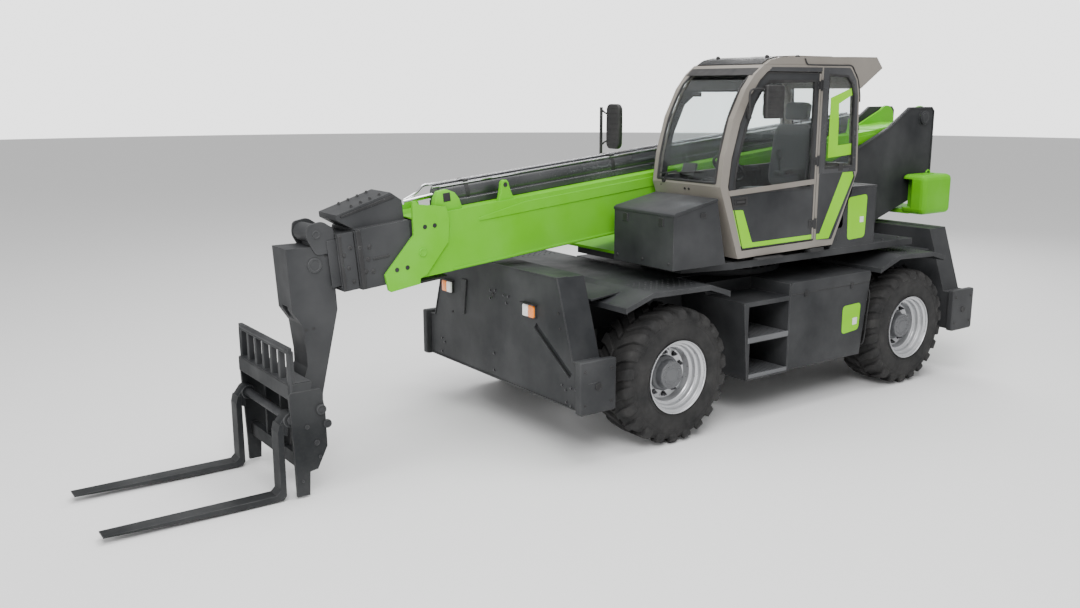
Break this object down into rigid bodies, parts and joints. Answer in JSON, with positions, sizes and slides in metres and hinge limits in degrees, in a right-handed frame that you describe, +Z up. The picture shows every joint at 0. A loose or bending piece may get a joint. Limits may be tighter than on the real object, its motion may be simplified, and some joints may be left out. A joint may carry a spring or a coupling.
{
  "type": "rotating telehandler",
  "caption": "Rotating telescopic handler with a slewing cab turret, telescopic boom, pallet forks, sliding outriggers and large steered wheels.",
  "frame": {"origin": "centre of the bounding box, on the ground under the wheels", "axes": "+X forward along the boom to the fork tips, +Y to the left, the cab's side, +Z up"},
  "size_m": [9.02, 2.5, 3.182],
  "materials": {
    "charcoal_paint": "satin",
    "black_paint": "satin",
    "lime_paint": "gloss",
    "cab_paint": "satin",
    "window_glass": "clear",
    "cab_trim": "matte",
    "engine_iron": "matte",
    "cylinder_chrome": "polished",
    "wheel_silver": "gloss",
    "tyre_rubber": "matte"
  },
  "bodies": {
    "chassis": {"chassis_frame": "charcoal_paint", "front_axle": "black_paint", "rear_axle": "black_paint", "front_deck": "charcoal_paint", "rear_deck": "charcoal_paint", "front_outrigger_box": "charcoal_paint", "rear_outrigger_box": "charcoal_paint", "tank_left": "charcoal_paint", "tank_right": "charcoal_paint", "step_unit": "charcoal_paint", "tool_box": "charcoal_paint"},
    "turret": {"turret_frame": "charcoal_paint", "counterweight": "lime_paint", "side_housing": "charcoal_paint", "front_box": "charcoal_paint", "engine_hood": "lime_paint", "engine_block": "engine_iron", "cab_frame": "cab_paint", "cab_roof": "cab_paint", "windscreen": "window_glass", "quarter_window": "window_glass", "right_window": "window_glass", "rear_window": "window_glass", "seat": "cab_trim", "steering_console": "cab_trim", "mirror_right": "black_paint"},
    "door": {"cab_door": "charcoal_paint", "door_glass": "window_glass", "mirror_left": "black_paint"},
    "boom": {"boom_base_section": "lime_paint", "hose_tray": "charcoal_paint"},
    "section_2": {"boom_section_2": "charcoal_paint"},
    "section_3": {"boom_section_3": "charcoal_paint"},
    "section_4": {"boom_section_4": "charcoal_paint"},
    "carriage": {"fork_carriage": "charcoal_paint", "fork_left": "charcoal_paint", "fork_right": "charcoal_paint"},
    "lift_barrel": {"lift_cylinder_barrel": "charcoal_paint"},
    "lift_rod": {"lift_cylinder_rod": "cylinder_chrome"},
    "steer_front_left": {"knuckle_front_left": "black_paint"},
    "wheel_front_left": {"rim_front_left": "wheel_silver", "tyre_front_left": "tyre_rubber"},
    "leg_front_left": {"outrigger_leg_front_left": "charcoal_paint"},
    "steer_front_right": {"knuckle_front_right": "black_paint"},
    "wheel_front_right": {"rim_front_right": "wheel_silver", "tyre_front_right": "tyre_rubber"},
    "leg_front_right": {"outrigger_leg_front_right": "charcoal_paint"},
    "steer_rear_left": {"knuckle_rear_left": "black_paint"},
    "wheel_rear_left": {"rim_rear_left": "wheel_silver", "tyre_rear_left": "tyre_rubber"},
    "leg_rear_left": {"outrigger_leg_rear_left": "charcoal_paint"},
    "steer_rear_right": {"knuckle_rear_right": "black_paint"},
    "wheel_rear_right": {"rim_rear_right": "wheel_silver", "tyre_rear_right": "tyre_rubber"},
    "leg_rear_right": {"outrigger_leg_rear_right": "charcoal_paint"}
  },
  "joints": [
    {"name": "turret_slew", "type": "hinge", "parent": "chassis", "child": "turret", "pos_m": [-1.4, 0, 1.44], "axis": [0, 0, 1], "continuous": true},
    {"name": "boom_lift", "type": "hinge", "parent": "turret", "child": "boom", "pos_m": [-4.32, 0.03, 2.582], "axis": [0, -1, 0], "range_deg": [0, 78]},
    {"name": "telescope_2", "type": "slide", "parent": "boom", "child": "section_2", "axis": [0.9955, 0, -0.0952], "range_m": [0, 5.3]},
    {"name": "telescope_3", "type": "slide", "parent": "section_2", "child": "section_3", "axis": [0.9955, 0, -0.0952], "range_m": [0, 5.3]},
    {"name": "telescope_4", "type": "slide", "parent": "section_3", "child": "section_4", "axis": [0.9955, 0, -0.0952], "range_m": [0, 5.3]},
    {"name": "carriage_tilt", "type": "hinge", "parent": "section_4", "child": "carriage", "pos_m": [2.87, 0.03, 0.52], "axis": [0, -1, 0], "range_deg": [-90, 18]},
    {"name": "door_hinge", "type": "hinge", "parent": "turret", "child": "door", "pos_m": [-1.55, 1.16, 2.2], "axis": [0, 0, 1], "range_deg": [0, 110]},
    {"name": "leg_front_left", "type": "slide", "parent": "chassis", "child": "leg_front_left", "axis": [0, 0.832, -0.5548], "range_m": [0, 0.85]},
    {"name": "leg_front_right", "type": "slide", "parent": "chassis", "child": "leg_front_right", "axis": [0, -0.832, -0.5548], "range_m": [0, 0.85]},
    {"name": "leg_rear_left", "type": "slide", "parent": "chassis", "child": "leg_rear_left", "axis": [0, 0.832, -0.5548], "range_m": [0, 0.85]},
    {"name": "leg_rear_right", "type": "slide", "parent": "chassis", "child": "leg_rear_right", "axis": [0, -0.832, -0.5548], "range_m": [0, 0.85]},
    {"name": "steer_front_left", "type": "hinge", "parent": "chassis", "child": "steer_front_left", "pos_m": [0.15, 0.93, 0.575], "axis": [0, 0, 1], "range_deg": [-30, 30]},
    {"name": "spin_front_left", "type": "hinge", "parent": "steer_front_left", "child": "wheel_front_left", "pos_m": [0.15, 1.025, 0.575], "axis": [0, 1, 0], "continuous": true},
    {"name": "steer_front_right", "type": "hinge", "parent": "chassis", "child": "steer_front_right", "pos_m": [0.15, -0.93, 0.575], "axis": [0, 0, 1], "range_deg": [-30, 30]},
    {"name": "spin_front_right", "type": "hinge", "parent": "steer_front_right", "child": "wheel_front_right", "pos_m": [0.15, -1.025, 0.575], "axis": [0, 1, 0], "continuous": true},
    {"name": "steer_rear_left", "type": "hinge", "parent": "chassis", "child": "steer_rear_left", "pos_m": [-2.95, 0.93, 0.575], "axis": [0, 0, 1], "range_deg": [-30, 30]},
    {"name": "spin_rear_left", "type": "hinge", "parent": "steer_rear_left", "child": "wheel_rear_left", "pos_m": [-2.95, 1.025, 0.575], "axis": [0, 1, 0], "continuous": true},
    {"name": "steer_rear_right", "type": "hinge", "parent": "chassis", "child": "steer_rear_right", "pos_m": [-2.95, -0.93, 0.575], "axis": [0, 0, 1], "range_deg": [-30, 30]},
    {"name": "spin_rear_right", "type": "hinge", "parent": "steer_rear_right", "child": "wheel_rear_right", "pos_m": [-2.95, -1.025, 0.575], "axis": [0, 1, 0], "continuous": true},
    {"name": "lift_barrel", "type": "hinge", "parent": "turret", "child": "lift_barrel", "pos_m": [-3.8, 0.03, 1.72], "axis": [0, -1, 0], "range_deg": [0, 76.5]},
    {"name": "lift_rod", "type": "slide", "parent": "lift_barrel", "child": "lift_rod", "axis": [0.9996, 0, -0.0286], "range_m": [0, 1.265]}
  ],
  "couplings": [
    {"joint": "telescope_3", "follows": "telescope_2", "ratio": 1},
    {"joint": "telescope_4", "follows": "telescope_2", "ratio": 1},
    {"joint": "steer_front_right", "follows": "steer_front_left", "ratio": 1},
    {"joint": "steer_rear_right", "follows": "steer_rear_left", "ratio": 1},
    {"joint": "lift_barrel", "follows": "boom_lift", "ratio": 0.97501},
    {"joint": "lift_rod", "follows": "boom_lift", "m_per_rad": 0.92691}
  ]
}
